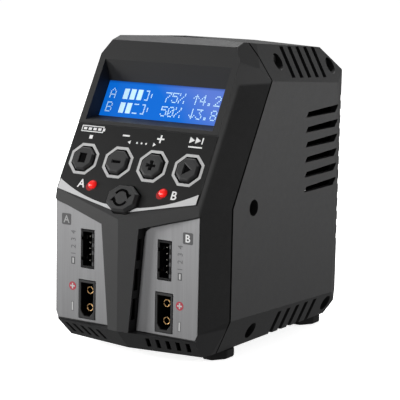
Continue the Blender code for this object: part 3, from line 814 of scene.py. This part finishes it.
def lettering(text: str, height: float, frame: Matrix, thickness: float, name: str,
              material: bpy.types.Material, bold: float = 0.05) -> bpy.types.Object:
    """Raised print of a few characters, centred on a frame.

    Args:
        text: The characters.
        height: Cap height in millimetres.
        frame: Where the print's back lies, in millimetres.
        thickness: Height of the print.
        name: The piece's name.
        material: Its material.
        bold: Outline growth as a share of the size.

    Returns:
        The object.
    """
    curve = bpy.data.curves.new(f"{name}_outline", "FONT")
    curve.body = text
    curve.size = 1.0
    curve.offset = bold * 0.3
    curve.extrude = 0.5
    curve.resolution_u = 3
    held = bpy.data.objects.new(f"{name}_outline", curve)
    bpy.context.scene.collection.objects.link(held)
    bpy.context.view_layer.update()
    data = bpy.data.meshes.new_from_object(held)
    bpy.data.objects.remove(held)
    low = [min(v.co[i] for v in data.vertices) for i in range(2)]
    high = [max(v.co[i] for v in data.vertices) for i in range(2)]
    scale = height / (high[1] - low[1])
    centre = Matrix.Translation((-(low[0] + high[0]) / 2, -(low[1] + high[1]) / 2, 0.5))
    grow = Matrix.Diagonal((scale, scale, thickness, 1.0))
    data.transform(Matrix.Scale(MM, 4) @ frame @ grow @ centre)
    return settle(data, name, HOUSING, material)


# ---- sub-assemblies
@dataclass
class CaseSkin:
    """The moulded case, with its sharp edges broken as a real tool leaves them."""

    finishes: Finishes
    nodes: dict[str, bpy.types.Object]
    shell_edge: float = 0.38
    panel_edge: float = 0.22
    foot_edge: float = 0.6
    plate_edge: float = 0.12
    sharpest: float = 14.0  # degrees between faces below which an edge is left alone

    def build(self) -> None:
        """Break the edges of each shell and dress it."""
        self.soften("front_shell", CASE, self.shell_edge)
        for name in ("left_shell", "right_shell"):
            self.soften(name, SHELL_BACK, self.shell_edge)
        self.soften("rear_panel", LOUVRE, self.panel_edge)
        for corner in ("front_left", "front_right", "rear_left", "rear_right"):
            self.soften(f"foot_{corner}", RUBBER, self.foot_edge)
        for name in ("plate_a", "plate_b"):
            self.soften(name, SHEET, self.plate_edge)
        self.dress("control_label", FILM)

    def soften(self, node: str, finish: Finish, width: float, body: str = HOUSING) -> None:
        """Stand a copy with broken edges in for a node.

        Args:
            node: The node's name.
            finish: The finish to give it.
            width: Edge radius in millimetres.
            body: The body that carries it.
        """
        mesh = bmesh.new()
        mesh.from_mesh(self.nodes[node].data)
        bmesh.ops.remove_doubles(mesh, verts=mesh.verts, dist=0.000004)
        bmesh.ops.dissolve_limit(mesh, angle_limit=math.radians(0.6), verts=mesh.verts, edges=mesh.edges)
        data = bpy.data.meshes.new(f"{node}_skin")
        mesh.to_mesh(data)
        mesh.free()
        piece = settle(data, f"{node}_skin", body, self.finishes.get(finish))
        bevel = piece.modifiers.new("broken_edge", "BEVEL")
        bevel.width = width * MM
        bevel.segments = 2
        bevel.limit_method = "ANGLE"
        bevel.angle_limit = math.radians(self.sharpest)
        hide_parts(node)

    def dress(self, node: str, finish: Finish) -> None:
        """Give a node its finish.

        Args:
            node: The node's name.
            finish: The finish.
        """
        data = self.nodes[node].data
        data.materials.clear()
        data.materials.append(self.finishes.get(finish))
        LOG.info("%s dressed in %s", node, finish.name)


@dataclass
class Keypad:
    """The five sprung caps with their engraved marks filled dark, and the switches behind."""

    finishes: Finishes
    skin: CaseSkin
    xs: dict[str, float] = field(
        default_factory=lambda: {"stop": -25.3, "dec": -8.4, "inc": 8.4, "enter": 25.3})
    height: float = 78.9
    channel_height: float = 65.6
    mark_depth: float = -0.69
    channel_mark_depth: float = -1.69
    mark_thickness: float = 0.04
    well_radius: float = 5.53
    well_wall: float = 0.15
    well_depth: float = 2.4
    arc_outer: float = 3.73
    arc_inner: float = 2.67

    def build(self) -> None:
        """Dress the caps, line their wells with painted shade and fill their marks."""
        for tag, x in self.xs.items():
            self.skin.soften(f"button_{tag}", KEYCAP, 0.3, f"button_{tag}")
            self.skin.dress(f"switch_{tag}", SOCKET)
            # Painted shade: a black liner in each well, so that the gap round the cap reads dark.
            well = Piece().band(octagon(self.well_radius), octagon(self.well_radius - self.well_wall),
                                face_frame(x, self.height, self.well_depth), self.well_depth - 0.1)
            well.finish(f"key_well_{tag}", HOUSING, self.finishes.get(WELL_SHADE))
        self.skin.dress("button_channel", KEYCAP)
        self.skin.dress("switch_channel", SOCKET)
        black = self.finishes.get(ENGRAVED)
        for tag, outline in self.marks().items():
            floor = face_frame(self.xs[tag], self.height, self.mark_depth)
            mark = Piece().slab(outline, floor, self.mark_thickness)
            mark.finish(f"mark_{tag}", f"button_{tag}", black)
        arrows = Piece()
        frame = face_frame(0.0, self.channel_height, self.channel_mark_depth)
        head = [(1.8, 1.72), (3.25, -0.3), (4.68, 1.72)]
        for angle in (0.0, math.pi):
            arrows.slab(turned(self.arc(), angle), frame, self.mark_thickness)
            arrows.slab(turned(head, angle), frame, self.mark_thickness + 0.01)
        arrows.finish("mark_channel", "button_channel", black)

    def marks(self) -> dict[str, Outline]:
        """The outline inside each engraved mark."""
        return {"stop": rectangle(1.73, 2.13), "dec": rectangle(2.08, 0.73), "inc": cross(2.08, 2.18, 0.73),
                "enter": [(-1.53, -2.36), (2.05, 0.0), (-1.53, 2.36)]}

    def arc(self) -> Outline:
        """The shaft of one circling arrow.

        Returns:
            Its outline.
        """
        angles = [math.radians(degrees) for degrees in range(25, 156, 13)]
        outer, inner = ([(radius * math.cos(angle), radius * math.sin(angle)) for angle in angles]
                        for radius in (self.arc_outer, self.arc_inner))
        return outer + inner[::-1]


@dataclass
class FacePrint:
    """What is printed on the slanted face: rings, trim, letters and small marks."""

    finishes: Finishes
    keypad: Keypad
    depth: float = 0.05
    ink: float = 0.045
    ring_outer: float = 6.8
    ring_inner: float = 5.62
    letter: float = 3.6
    trim_z: float = 66.0
    trim_outer: float = 33.5
    trim_inner: float = 7.1
    trim_tip: float = 4.1

    def build(self) -> None:
        """Print everything."""
        white = self.finishes.get(WHITE)
        for tag, x in self.keypad.xs.items():
            piece = Piece().band(octagon(self.ring_outer), octagon(self.ring_inner),
                                 face_frame(x, self.keypad.height, self.depth), self.ink)
            piece.finish(f"ring_{tag}", HOUSING, white)
        self.trim()
        letter = self.finishes.get(LETTER)
        lettering("A", self.letter, face_frame(-22.5, 69.7, self.depth), self.ink, "lamp_letter_a", letter)
        lettering("B", self.letter, face_frame(22.6, 69.2, self.depth), self.ink, "lamp_letter_b", letter)
        self.small_marks()

    def trim_top(self, x: float) -> float:
        """Height of the trim's upper edge."""
        return 62.75 + 0.0070 * x * x

    def trim_foot(self, x: float) -> float:
        """Height of the trim's lower edge."""
        return 60.55 + 6.35 * x / 33.4

    def trim(self) -> None:
        """The curved white trim at the foot of the face, in two halves that stop at the channel key."""
        steps = 22
        reach = self.trim_inner - self.trim_outer
        xs = [self.trim_outer + reach * step / steps for step in range(steps + 1)]
        edge = [(x, self.trim_top(x)) for x in xs] + [(self.trim_tip, self.trim_foot(self.trim_tip))]
        edge += [(x, self.trim_foot(x)) for x in reversed(xs)]
        frame = face_frame(0.0, self.trim_z, self.depth)
        for side in Side:
            outline = [(side.value * x, (z - self.trim_z) / FACE_UP.z) for x, z in edge]
            Piece().slab(outline, frame, self.ink).finish(f"trim_{side.name.lower()}", HOUSING,
                                                          self.finishes.get(TRIM))

    def small_marks(self) -> None:
        """Generic marks above the keys: a cell, a square, minus, plus, arrows, dots and a start mark."""
        piece = Piece()
        bars = [rectangle(0.8, 0.55, 2.4 * bar - 3.8) for bar in range(4)]
        marks: list[tuple[float, float, list[Outline]]] = [
            (-25.6, 90.5, [rectangle(0.35, 0.6, 5.75)] + bars),
            (-25.3, 87.4, [rectangle(0.8, 0.8)]),
            (-8.4, 89.2, [rectangle(1.7, 0.36)]),
            (8.4, 89.2, [cross(1.7, 1.7, 0.36)]),
            (-6.0, 86.9, [[(-0.75, 0.0), (0.6, -0.85), (0.6, 0.85)]]),
            (6.2, 86.9, [[(0.75, 0.0), (-0.6, 0.85), (-0.6, -0.85)]]),
            (25.3, 90.0, [[(-1.0, 0.0), (-3.4, 1.4), (-3.4, -1.4)], [(1.8, 0.0), (-0.6, 1.4), (-0.6, -1.4)],
                          rectangle(0.3, 1.4, 2.6)]),
            (25.3, 87.5, [rectangle(3.2, 0.3)])]
        for x, z, outlines in marks:
            for outline in outlines:
                piece.slab(outline, face_frame(x, z, self.depth), self.ink)
        cell = face_frame(-25.6, 90.5, self.depth)
        piece.band(rectangle(5.5, 1.4, -0.1), rectangle(5.1, 1.0, -0.1), cell, self.ink)
        for x in (-2.2, 0.0, 2.2):
            piece.disc(0.42, face_frame(x, 86.9, self.depth), self.ink, 12)
        piece.finish("key_marks", HOUSING, self.finishes.get(LETTER))


class Glyph(Enum):
    """Dot patterns of the display, seven rows of five from the top."""

    A = "00100 01010 10001 10001 11111 10001 10001"
    B = "11110 10001 10001 11110 10001 10001 11110"
    SEVEN = "11111 00001 00010 00100 01000 01000 01000"
    FIVE = "11111 10000 11110 00001 00001 10001 01110"
    ZERO = "01110 10001 10011 10101 11001 10001 01110"
    PERCENT = "10001 10001 00010 00100 01000 10001 10001"
    UP = "00100 01110 10101 00100 00100 00100 00100"
    DOWN = "00100 00100 00100 00100 10101 01110 00100"
    FOUR = "00010 00110 01010 10010 11111 00010 00010"
    TWO = "01110 10001 00001 00010 00100 01000 11111"
    THREE = "11111 00010 00100 00010 00001 10001 01110"
    EIGHT = "01110 10001 10001 01110 10001 10001 01110"
    POINT = "00000 00000 00000 00000 00000 01100 01100"
    FULL = "11110 11110 11110 11110 11110 11110 11110"
    EMPTY = "11110 00000 00000 00000 00000 00000 11110"
    BRACKET = "01110 00010 00010 00010 00010 00010 01110"
    NUB = "00000 00000 10000 10000 10000 00000 00000"
    SPACE = "00000 00000 00000 00000 00000 00000 00000"


@dataclass
class Display:
    """The backlit two-row character display at the foot of its recess."""

    finishes: Finishes
    skin: CaseSkin
    depth: float = 7.24
    pitch: float = 3.42
    row_pitch: float = 6.3
    dot: float = 0.44
    dot_pitch: float = 0.60
    tall: float = 1.12  # height of a dot as a share of its width
    ink: float = 0.03
    first_u: float = -26.9
    top_row_v: float = 1.95

    def build(self) -> None:
        """Light the glass and write the two rows."""
        self.skin.dress("lcd_glass", GLASS)
        self.skin.dress("lcd_frame", SOCKET)
        g = Glyph
        rows = ([g.A, g.SPACE, g.FULL, g.FULL, g.FULL, g.BRACKET, g.NUB, g.SPACE, g.SEVEN, g.FIVE, g.PERCENT,
                 g.SPACE, g.UP, g.FOUR, g.POINT, g.TWO],
                [g.B, g.SPACE, g.FULL, g.FULL, g.EMPTY, g.BRACKET, g.NUB, g.SPACE, g.FIVE, g.ZERO, g.PERCENT,
                 g.SPACE, g.DOWN, g.THREE, g.POINT, g.EIGHT])
        piece = Piece()
        frame = face_frame(0.0, 106.0, self.depth)
        for line, row in enumerate(rows):
            for column, glyph in enumerate(row):
                self.write(piece, frame, glyph, self.first_u + column * self.pitch,
                           self.top_row_v - line * self.row_pitch)
        piece.finish("display_dots", HOUSING, self.finishes.get(GLYPH))

    def write(self, piece: Piece, frame: Matrix, glyph: Glyph, u: float, v: float) -> None:
        """Lay one character's dots.

        Args:
            piece: The mesh to add them to.
            frame: The glass's frame.
            glyph: Which character.
            u: Its centre across.
            v: Its centre up the slope.
        """
        rise = self.dot_pitch * self.tall
        if glyph is Glyph.FULL:
            piece.slab(rectangle(self.dot_pitch * 2, rise * 3.5, u - self.dot_pitch / 2, v), frame, self.ink)
            return
        for down, line in enumerate(glyph.value.split()):
            for across, lit in enumerate(line):
                if lit == "1":
                    dot = rectangle(self.dot / 2, self.dot / 2 * self.tall,
                                    u + (across - 2) * self.dot_pitch, v - (down - 3) * rise)
                    piece.slab(dot, frame, self.ink)


@dataclass
class Lamps:
    """The two red channel lamps."""

    finishes: Finishes
    skin: CaseSkin
    x: float = 17.1
    z: float = 69.6
    wall_outer: float = 2.06
    wall_inner: float = 1.86
    glow: float = 1.95

    def build(self) -> None:
        """Dress both lamps, paint their red light on the face beside each, and ring their wells with a wall
        painted as lit.
        """
        for side in Side:
            tag = side.name.lower()
            x = side.value * self.x
            self.skin.dress(f"led_{tag}", LAMP)
            # Painted light: a dim red disc on the face, lit by the lamp.
            glow = Piece().disc(self.glow, face_frame(x - 0.85, self.z - 0.65, 0.05), 0.03, 24)
            glow.finish(f"lamp_glow_{tag}", HOUSING, self.finishes.get(LAMP_GLOW))
            # Painted light: the well's wall glows red as if lit by the lamp.
            wall = Piece().tube(self.wall_outer, self.wall_inner, face_frame(x, self.z, 2.2), 2.1)
            wall.finish(f"lamp_well_{tag}", HOUSING, self.finishes.get(LAMP_WALL_LIGHT))


@dataclass
class Channel:
    """One channel's sockets, contacts and plate print."""

    finishes: Finishes
    skin: CaseSkin
    side: Side
    face_y: float = -53.9
    header_x: float = 18.8
    header_z: float = 42.95
    power_x: float = 18.9
    power_z: float = 21.75
    badge_x: float = 29.6
    mark_x: float = 26.1
    sign_x: float = 26.3
    ink: float = 0.03

    @property
    def tag(self) -> str:
        """The channel's letter as it ends a name."""
        return self.side.name.lower()

    @property
    def plus_z(self) -> float:
        """Height of the plus mark."""
        return self.power_z + (4.9 if self.side is Side.A else 3.8)

    @property
    def minus_z(self) -> float:
        """Height of the minus mark."""
        return self.power_z - (3.6 if self.side is Side.A else 4.6)

    @property
    def badge_z(self) -> float:
        """Height of the channel badge."""
        return 54.2 if self.side is Side.A else 53.0

    def at(self, x: float, z: float, proud: float = 0.005) -> Matrix:
        """A frame just proud of the plate's face, x measured outwards from the middle."""
        return front_frame(self.side.value * x, self.face_y - proud, z)

    def lay(self, piece: Piece, name: str, finish: Finish) -> None:
        """Finish a piece of this channel."""
        piece.finish(f"{name}_{self.tag}", HOUSING, self.finishes.get(finish))

    def build(self) -> None:
        """Dress the sockets and print the plate."""
        self.skin.soften(f"balance_header_{self.tag}", SOCKET, 0.1)
        self.skin.soften(f"power_socket_{self.tag}", SHROUD, 0.12)
        for pin in range(1, 6):
            self.skin.dress(f"balance_pin_{self.tag}{pin}", PIN_METAL)
        for pole in ("plus", "minus"):
            self.skin.soften(f"contact_{self.tag}_{pole}", GOLD, 0.1)
        self.linings()
        self.column_lining()
        self.badge()
        self.cell_scale()
        self.polarity()

    def linings(self) -> None:
        """Painted shade as a dark lining inside the power socket, and the rim and latch windows of the balance
        header.
        """
        x = self.side.value * self.power_x
        outline = [(-3.1, 7.0), (-3.1, -4.95), (-1.45, -6.95), (1.45, -6.95), (3.1, -4.95), (3.1, 7.0)]
        inner = [(u * 0.965, v * 0.985) for u, v in outline]
        # Painted shade: a black band and back inside the socket.
        lining = Piece().band(outline, inner, front_frame(x, -44.3, self.power_z), 9.4)
        lining.slab(inner, front_frame(x, -44.25, self.power_z), 0.05)
        self.lay(lining, "socket_lining", SOCKET)
        rim = Piece().slab(rectangle(0.38, 6.9, 2.7), self.header_frame(0.105), 0.02)
        self.lay(rim, "header_rim", SOCKET)
        windows = Piece()
        for v in (5.7, 1.9, -1.3, -6.0):
            windows.slab(rectangle(0.4, 0.75, 2.7, v), self.header_frame(0.11), 0.035)
        self.lay(windows, "header_windows", WINDOW)

    def header_frame(self, proud: float) -> Matrix:
        """A frame over the middle of the balance header."""
        return self.at(self.header_x, self.header_z, proud)

    def column_lining(self) -> None:
        """Painted shade: black boxes lining the three air slots in the column's flank, so that they read dark.
        """
        piece = Piece()
        back, reach, wall = 1.84, 8.86, 0.08
        for z in (17.4, 29.6, 41.9):
            flank = 4.9 + (z - 12.4) * 0.0939
            near, far = sorted((self.side.value * back, self.side.value * flank))
            inner, outer = sorted((self.side.value * back, self.side.value * (back + 0.1)))
            low, top = z + 0.04, z + reach
            piece.block((inner, -57.2, low + 0.1), (outer, -54.9, top - 0.1))
            for y in (-54.82, -57.36):
                piece.block((near, y, low), (far, y + wall, top))
            for foot in (top - wall, low):
                piece.block((near, -57.2, foot), (far, -54.9, foot + wall))
        self.lay(piece, "column_lining", PAINTED_SHADOW)

    def badge(self) -> None:
        """The channel's letter on its grey badge."""
        half, cut = 2.35, 0.4
        corners = [(-half, -half + cut), (-half + cut, -half), (half - cut, -half), (half, -half + cut),
                   (half, half - cut), (half - cut, half), (-half + cut, half), (-half, half - cut)]
        self.lay(Piece().slab(corners, self.at(self.badge_x, self.badge_z), self.ink), "badge", GREY_PRINT)
        print_finish = LETTER if self.side is Side.B else SILVER_PRINT
        lettering(self.side.name, 3.1, self.at(self.badge_x, self.badge_z, 0.035), self.ink,
                  f"badge_letter_{self.tag}", self.finishes.get(print_finish))

    def cell_scale(self) -> None:
        """The cell numbers beside the balance header, and the box at their foot."""
        turn = Matrix.Rotation(math.pi / 2, 4, "Z")
        for index, digit in enumerate("4321"):
            frame = self.at(self.mark_x, self.header_z + 6.2 - 2.95 * index) @ turn
            lettering(digit, 2.3, frame, self.ink, f"cell_{digit}_{self.tag}",
                      self.finishes.get(FAINT_PRINT), 0.0)
        frame = self.at(self.mark_x, self.header_z - 5.6)
        box = Piece().band(rectangle(0.95, 1.5), rectangle(0.4, 1.1), frame, self.ink)
        self.lay(box, "cell_end", GREY_PRINT)

    def polarity(self) -> None:
        """The plus and minus signs beside the power socket, and the light inside the scale's end box."""
        white = Piece().slab(rectangle(0.38, 1.08), self.at(self.mark_x, self.header_z - 5.6), 0.02)
        white.slab(rectangle(0.33, 1.75), self.at(self.sign_x, self.minus_z), 0.04)
        white.slab(cross(1.15, 1.15, 0.3), self.at(self.sign_x, self.plus_z, 0.045), self.ink)
        self.lay(white, "polarity_white", WHITE)
        shade = Piece().slab(rectangle(0.6, 2.0), self.at(self.sign_x, self.minus_z), 0.02)
        self.lay(shade, "polarity_shade", FAINT_PRINT)
        self.lay(Piece().disc(1.8, self.at(self.sign_x, self.plus_z), self.ink), "polarity_red", RED_PRINT)


@dataclass
class Works:
    """Everything inside and behind the case."""

    skin: CaseSkin

    def build(self) -> None:
        """Dress the inner parts, the fan, the inlet and the screws."""
        dressing: dict[Finish, Sequence[str]] = {
            BOARD: ("control_board", "main_board"), WINDING: ("transformer",), SLEEVE: ("capacitor",),
            ALLOY: ("heat_sink_a", "heat_sink_b"), STEEL: ("inlet_pin_left", "inlet_pin_right"),
            SOCKET: ("fan_frame",), SCREW: [f"case_screw_{number}" for number in range(1, 6)]}
        for finish, names in dressing.items():
            for name in names:
                self.skin.dress(name, finish)
        # Painted shade: dark sheets behind the left vents and the rear louvres so that the case's inside reads
        # dark, and a dark strip in a joint low in the middle.
        sheets = {"insulation_left": ((-37.3, 17.0, 60.0), (-37.1, 50.0, 104.5)),
                  "insulation_rear_right": ((20.8, 55.3, 60.0), (33.0, 55.5, 107.0)),
                  "insulation_rear_left": ((-33.0, 55.3, 60.0), (-20.8, 55.5, 107.0)),
                  "joint_strip": ((-0.15, 20.0, 5.4), (0.15, 50.5, 9.0))}
        for name, (low, high) in sheets.items():
            Piece().block(low, high).finish(name, HOUSING, self.skin.finishes.get(PAINTED_SHADOW))
        self.skin.soften("fan_rotor", LOUVRE, 0.15, "fan")
        self.skin.soften("ac_inlet", SOCKET, 0.25)


@dataclass
class Studio:
    """Floor, lights and camera."""

    finishes: Finishes
    azimuth: float = 32.209
    elevation: float = 9.474
    roll: float = 1.177
    distance: float = 677.459
    side: float = 0.646
    rise: float = -1.821
    focal: float = 1584.534
    aim: float = 60.0

    def build(self) -> None:
        """Set up the studio."""
        self.floor()
        self.world()
        for name, place, aim, size, power, tint in (
                ("key", (-0.95, -0.62, 0.22), (0, 0, 0.05), 0.5, 13.0, (1.0, 1.0, 0.99)),
                ("front", (-0.25, -1.10, 0.08), (0, 0, 0.05), 0.35, 6.5, (1.0, 1.0, 1.0)),
                ("flank", (0.68, 0.86, 0.16), (0.04, 0, 0.05), 0.5, 2.9, (1.0, 1.0, 1.0)),
                ("kicker", (0.34, 0.12, 0.06), (0.04, 0.02, 0.01), 0.12, 0.42, (1.0, 1.0, 1.0)),
                ("top", (-0.25, 0.40, 0.95), (0, 0, 0.06), 0.6, 10.0, (1.0, 1.0, 1.0))):
            self.light(name, Vector(place), Vector(aim), size, power, tint)
        self.camera()
        bpy.context.scene.view_settings.view_transform = "Standard"

    def floor(self) -> None:
        """A pale flat floor just under the object."""
        mesh = bmesh.new()
        bmesh.ops.create_grid(mesh, x_segments=8, y_segments=8, size=6.0)
        bmesh.ops.translate(mesh, verts=mesh.verts, vec=(0.0, 0.0, -0.0002))
        data = bpy.data.meshes.new("studio_floor")
        mesh.to_mesh(data)
        mesh.free()
        data.materials.append(self.finishes.get(StudioFloor()))
        made = bpy.data.objects.new("studio_floor", data)
        bpy.context.scene.collection.objects.link(made)
        made.visible_diffuse = False
        made.visible_glossy = False

    def world(self) -> None:
        """Even white surroundings."""
        world = bpy.data.worlds.new("studio_world")
        world.use_nodes = True
        back = world.node_tree.nodes["Background"]
        back.inputs["Color"].default_value = (1.0, 1.0, 1.0, 1.0)
        back.inputs["Strength"].default_value = 0.22
        bpy.context.scene.world = world

    def light(self, name: str, place: Vector, aim: Vector, size: float, power: float, tint: Colour) -> None:
        """Add one soft lamp.

        Args:
            name: Its name.
            place: Where it stands.
            aim: What it points at.
            size: Side of its square.
            power: Watts.
            tint: Colour.
        """
        data = bpy.data.lights.new(name, "AREA")
        data.shape = "SQUARE"
        data.size = size
        data.energy = power
        data.color = tint
        made = bpy.data.objects.new(name, data)
        made.location = place
        made.rotation_euler = (aim - place).to_track_quat("-Z", "Y").to_euler()
        bpy.context.scene.collection.objects.link(made)

    def camera(self) -> None:
        """Place the camera from its fitted angles."""
        a, e, r = (math.radians(v) for v in (self.azimuth, self.elevation, self.roll))
        back = Vector((math.sin(a) * math.cos(e), -math.cos(a) * math.cos(e), math.sin(e)))
        right = Vector((math.cos(a), math.sin(a), 0.0))
        up = back.cross(right)
        right, up = right * math.cos(r) + up * math.sin(r), up * math.cos(r) - right * math.sin(r)
        place = (Vector((0, 0, self.aim)) + back * self.distance + right * self.side + up * self.rise) * MM
        data = bpy.data.cameras.new("view")
        data.sensor_width = 36.0
        data.lens = self.focal / 400.0 * 36.0
        data.clip_start = 0.01
        made = bpy.data.objects.new("view", data)
        made.matrix_world = Matrix(((right.x, up.x, back.x, place.x), (right.y, up.y, back.y, place.y),
                                    (right.z, up.z, back.z, place.z), (0, 0, 0, 1)))
        bpy.context.scene.collection.objects.link(made)
        bpy.context.scene.camera = made


def main() -> None:
    """Build the looks in order, each piece on the body that carries it."""
    logging.basicConfig(level=logging.INFO, format="%(name)s %(message)s")
    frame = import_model()
    finishes = Finishes()
    skin = CaseSkin(finishes, frame["nodes"])
    keypad = Keypad(finishes, skin)
    parts: dict[str, object] = {
        "studio": Studio(finishes), "case": skin, "keypad": keypad, "face print": FacePrint(finishes, keypad),
        "display": Display(finishes, skin), "lamps": Lamps(finishes, skin), "works": Works(skin)}
    parts.update({f"channel {side.name}": Channel(finishes, skin, side) for side in Side})
    for name, part in parts.items():
        part.build()
        LOG.info("built the %s", name)


if __name__ == "__main__":
    main()
